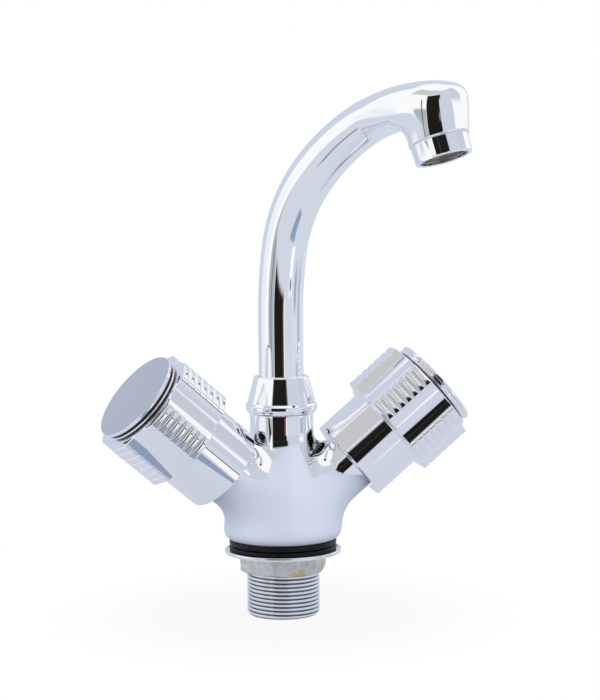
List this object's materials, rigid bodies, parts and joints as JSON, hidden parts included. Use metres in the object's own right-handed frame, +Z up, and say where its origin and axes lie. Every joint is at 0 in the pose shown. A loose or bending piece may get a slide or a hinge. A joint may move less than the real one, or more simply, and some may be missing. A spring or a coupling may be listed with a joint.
{
  "type": "basin mixer tap",
  "caption": "Deck-mounted basin mixer with a swivelling swan-neck spout, ribbed rotary knobs for hot and cold, and a threaded shank with gaskets, washer and backnut.",
  "frame": {"origin": "centre of the deck's top face under the body, on the axis of the threaded shank", "axes": "+Z up along the shank and the spout's swivel axis, the user at -Y, hot knob at -X and cold knob at +X; rest pose has the spout swung 34 degrees from -Y towards +X"},
  "size_m": [0.1702, 0.1115, 0.2384],
  "materials": {
    "chromed_brass": "mirror chrome plating on cast brass",
    "chromed_plastic": "bright chrome plating on moulded ABS",
    "plated_thread": "nickel-chrome plated machined thread",
    "plated_steel": "bright zinc plating",
    "plated_brass_nut": "as-forged brass with a thin worn plating",
    "plain_brass": "machined brass",
    "black_rubber": "moulded black rubber",
    "white_acetal": "moulded acetal",
    "grey_plastic": "moulded grey-brown plastic",
    "stainless_steel": "bright stainless steel"
  },
  "bodies": {
    "root": {"mixer_body": "chromed_brass", "threaded_sleeve": "plated_thread", "base_gasket": "black_rubber", "spout_collar": "chromed_brass", "hot_bonnet": "plain_brass", "hot_bonnet_seal": "black_rubber", "cold_bonnet": "plain_brass", "cold_bonnet_seal": "black_rubber"},
    "spout": {"swan_neck": "chromed_brass", "spout_o_rings": "black_rubber", "spout_retaining_ring": "white_acetal", "aerator_housing": "chromed_brass", "aerator_seal": "black_rubber", "aerator_insert": "grey_plastic", "aerator_screen": "stainless_steel"},
    "hot_handle": {"hot_knob": "chromed_plastic", "hot_trim_ring": "chromed_plastic", "hot_index_cap": "chromed_plastic", "hot_knob_screw": "stainless_steel", "hot_spindle": "plain_brass", "hot_spindle_o_rings": "black_rubber", "hot_circlip": "stainless_steel"},
    "cold_handle": {"cold_knob": "chromed_plastic", "cold_trim_ring": "chromed_plastic", "cold_index_cap": "chromed_plastic", "cold_knob_screw": "stainless_steel", "cold_spindle": "plain_brass", "cold_spindle_o_rings": "black_rubber", "cold_circlip": "stainless_steel"},
    "hot_valve": {"hot_plunger": "plain_brass", "hot_valve_washer": "black_rubber", "hot_washer_screw": "stainless_steel"},
    "cold_valve": {"cold_plunger": "plain_brass", "cold_valve_washer": "black_rubber", "cold_washer_screw": "stainless_steel"},
    "clamp": {"clamp_gasket": "black_rubber", "clamp_washer": "plated_steel"},
    "nut": {"clamp_nut": "plated_brass_nut"}
  },
  "joints": [
    {"name": "spout_swivel", "type": "hinge", "parent": "root", "child": "spout", "pos_m": [0, 0, 0], "axis": [0, 0, 1], "continuous": true},
    {"name": "hot_turn", "type": "hinge", "parent": "root", "child": "hot_handle", "pos_m": [0, -0.002, 0.0111], "axis": [-0.7561, -0.0995, 0.6468], "range_deg": [0, 720]},
    {"name": "hot_lift", "type": "slide", "parent": "root", "child": "hot_valve", "axis": [-0.7561, -0.0995, 0.6468], "range_m": [0, 0.004]},
    {"name": "cold_turn", "type": "hinge", "parent": "root", "child": "cold_handle", "pos_m": [0, -0.002, 0.0111], "axis": [0.7561, -0.0995, 0.6468], "range_deg": [0, 720]},
    {"name": "cold_lift", "type": "slide", "parent": "root", "child": "cold_valve", "axis": [0.7561, -0.0995, 0.6468], "range_m": [0, 0.004]},
    {"name": "clamp_slide", "type": "slide", "parent": "root", "child": "clamp", "axis": [0, 0, -1], "range_m": [0, 0.016]},
    {"name": "nut_turn", "type": "hinge", "parent": "clamp", "child": "nut", "pos_m": [0, 0, 0], "axis": [0, 0, -1], "range_deg": [0, 2880]}
  ],
  "couplings": [
    {"joint": "hot_lift", "follows": "hot_turn", "m_per_rad": 0.0003183},
    {"joint": "cold_lift", "follows": "cold_turn", "m_per_rad": 0.0003183},
    {"joint": "clamp_slide", "follows": "nut_turn", "m_per_rad": 0.0003183}
  ]
}
